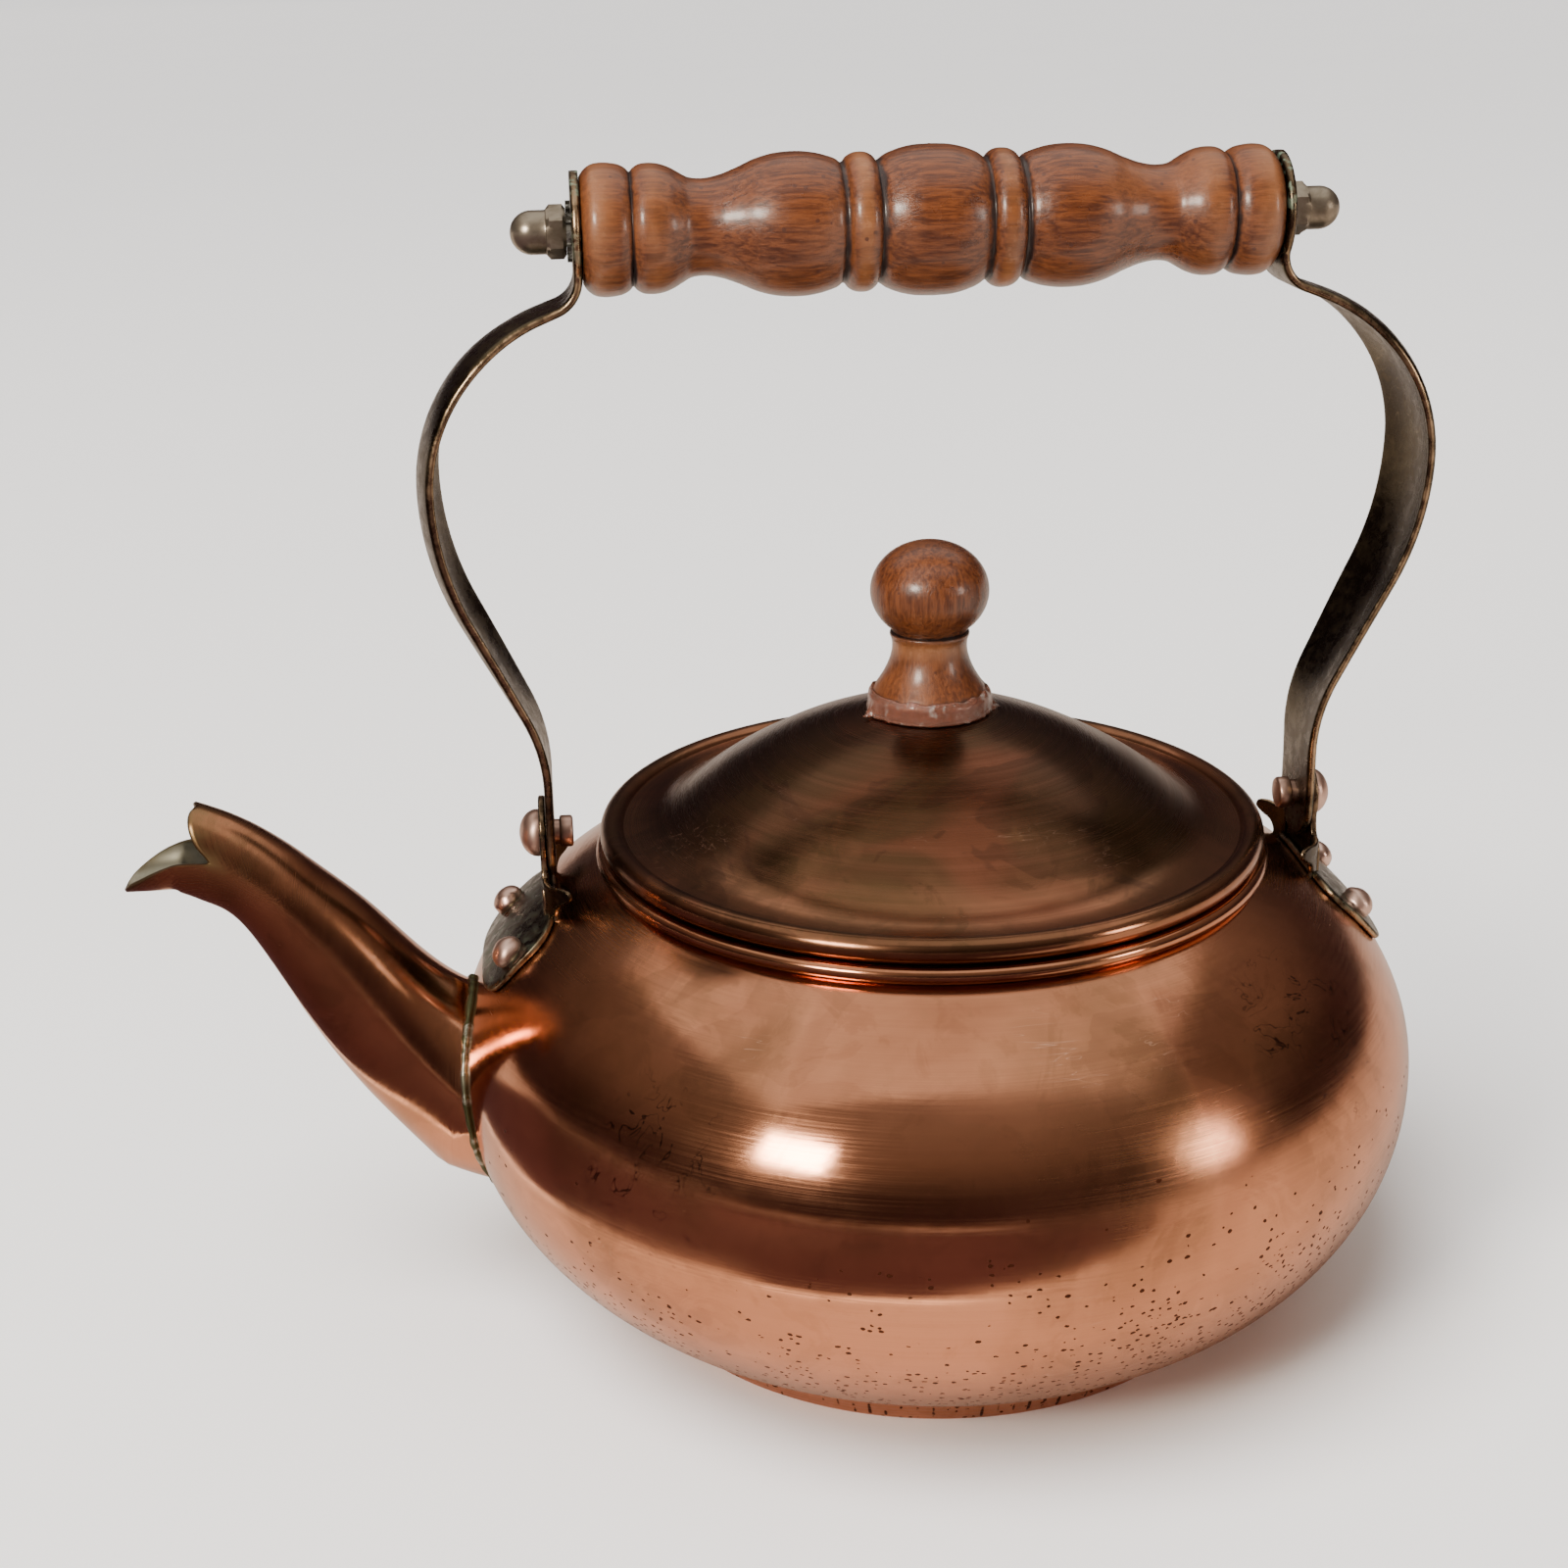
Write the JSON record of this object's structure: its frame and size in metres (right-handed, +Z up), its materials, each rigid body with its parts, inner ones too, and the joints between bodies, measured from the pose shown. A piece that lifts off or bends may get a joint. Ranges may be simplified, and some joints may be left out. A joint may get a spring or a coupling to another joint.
{
  "type": "copper kettle",
  "caption": "Squat round copper kettle with a gooseneck spout, a lift-off domed lid and a swinging brass bail with a turned wooden grip.",
  "frame": {"origin": "on the body's axis, in the plane that the kettle rests on", "axes": "+Z up, -X towards the spout; the bail's pivots and the grip lie along X"},
  "size_m": [0.2388, 0.18, 0.2144],
  "materials": {
    "copper_body": "lacquered sheet copper, tarnished brown, fine rings of brushing",
    "copper_base": "crimped sheet copper, clean and pink",
    "copper_spout": "lacquered copper, olive patina towards the mouth",
    "copper_lid": "lacquered sheet copper with dull stains",
    "copper_rivet": "hammered copper rivet",
    "solder": "dull grey solder with green tarnish",
    "brass_dark": "dark olive patina, edges worn bright",
    "nickel": "worn nickel plating",
    "varnished_wood": "turned hardwood, glossy brown varnish"
  },
  "bodies": {
    "kettle": {"body_shell": "copper_body", "base_pan": "copper_base", "neck_collar": "copper_body", "spout_tube": "copper_spout", "spout_solder": "solder", "bracket_front": "brass_dark", "bracket_rear": "brass_dark", "bracket_rivets": "copper_rivet", "pivot_pins": "copper_rivet"},
    "bail": {"strap_front": "brass_dark", "strap_rear": "brass_dark", "tie_rod": "nickel", "lock_washers": "nickel", "cap_nuts": "nickel"},
    "grip": {"handle_grip": "varnished_wood"},
    "lid": {"lid_shell": "copper_lid", "lid_skirt": "copper_lid", "lid_knob": "varnished_wood", "knob_washer": "nickel", "knob_screw": "nickel"}
  },
  "joints": [
    {"name": "bail_swing", "type": "hinge", "parent": "kettle", "child": "bail", "pos_m": [0, 0, 0.0929], "axis": [1, 0, 0], "range_deg": [-80, 80]},
    {"name": "grip_spin", "type": "hinge", "parent": "bail", "child": "grip", "pos_m": [0, 0, 0.2017], "axis": [1, 0, 0], "continuous": true},
    {"name": "lid_lift", "type": "slide", "parent": "kettle", "child": "lid", "axis": [0, 0, 1], "range_m": [0, 0.04]}
  ]
}
